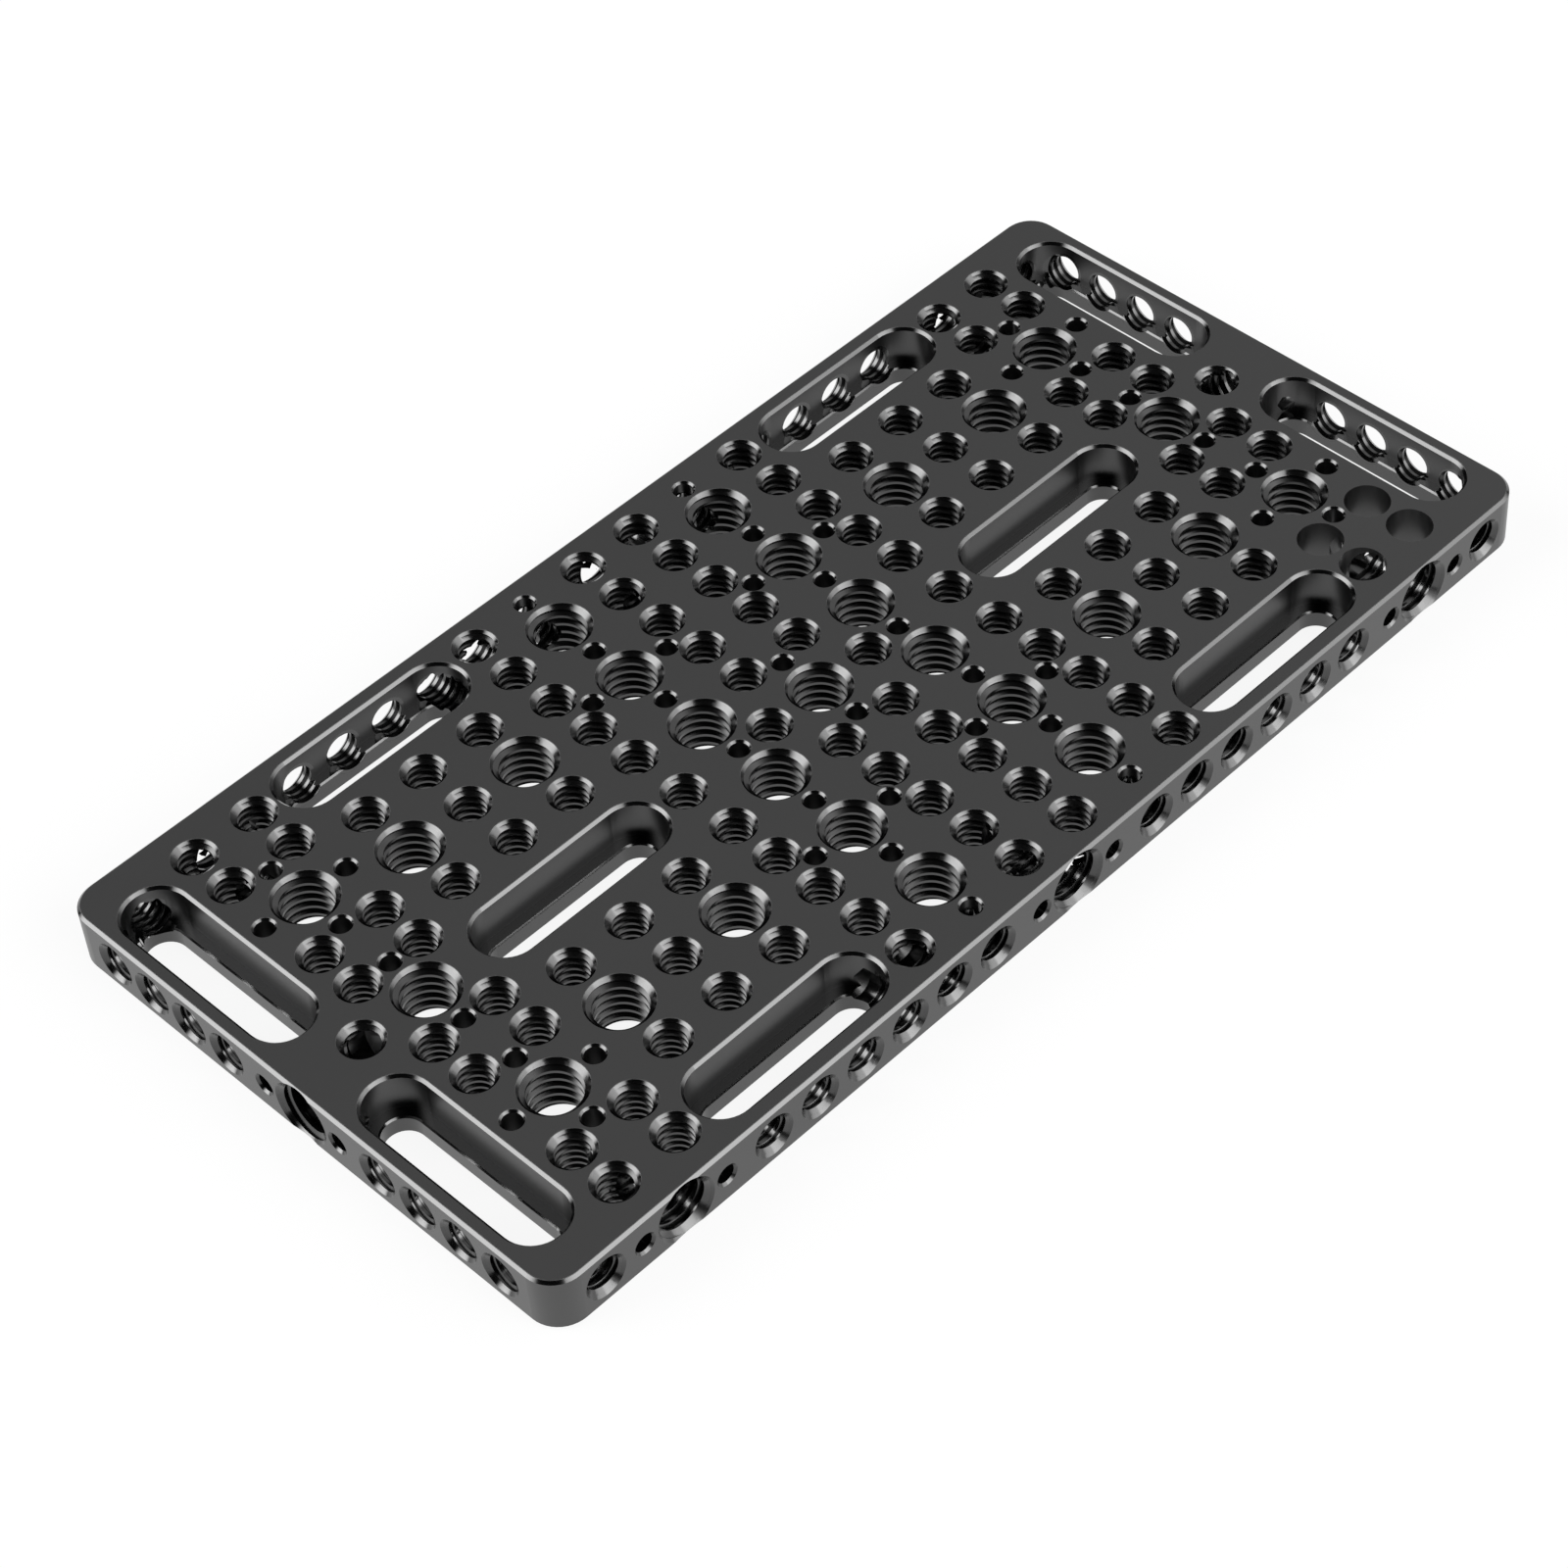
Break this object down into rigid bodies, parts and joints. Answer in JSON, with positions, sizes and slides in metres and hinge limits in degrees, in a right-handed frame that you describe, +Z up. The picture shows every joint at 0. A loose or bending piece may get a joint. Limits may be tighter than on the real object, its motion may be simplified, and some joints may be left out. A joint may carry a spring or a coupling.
{
  "type": "camera cheese plate",
  "caption": "Flat rectangular camera mounting plate with a dense field of tapped holes, pin holes and stepped screw slots, and tapped holes along its sides.",
  "frame": {"origin": "middle of the underside", "axes": "+X along the plate, +Y across it, +Z up out of the upper face"},
  "size_m": [0.2, 0.1, 0.01],
  "materials": {
    "black_anodised": "fine satin, black anodised"
  },
  "bodies": {
    "root": {"mounting_plate": "black_anodised"}
  },
  "joints": []
}
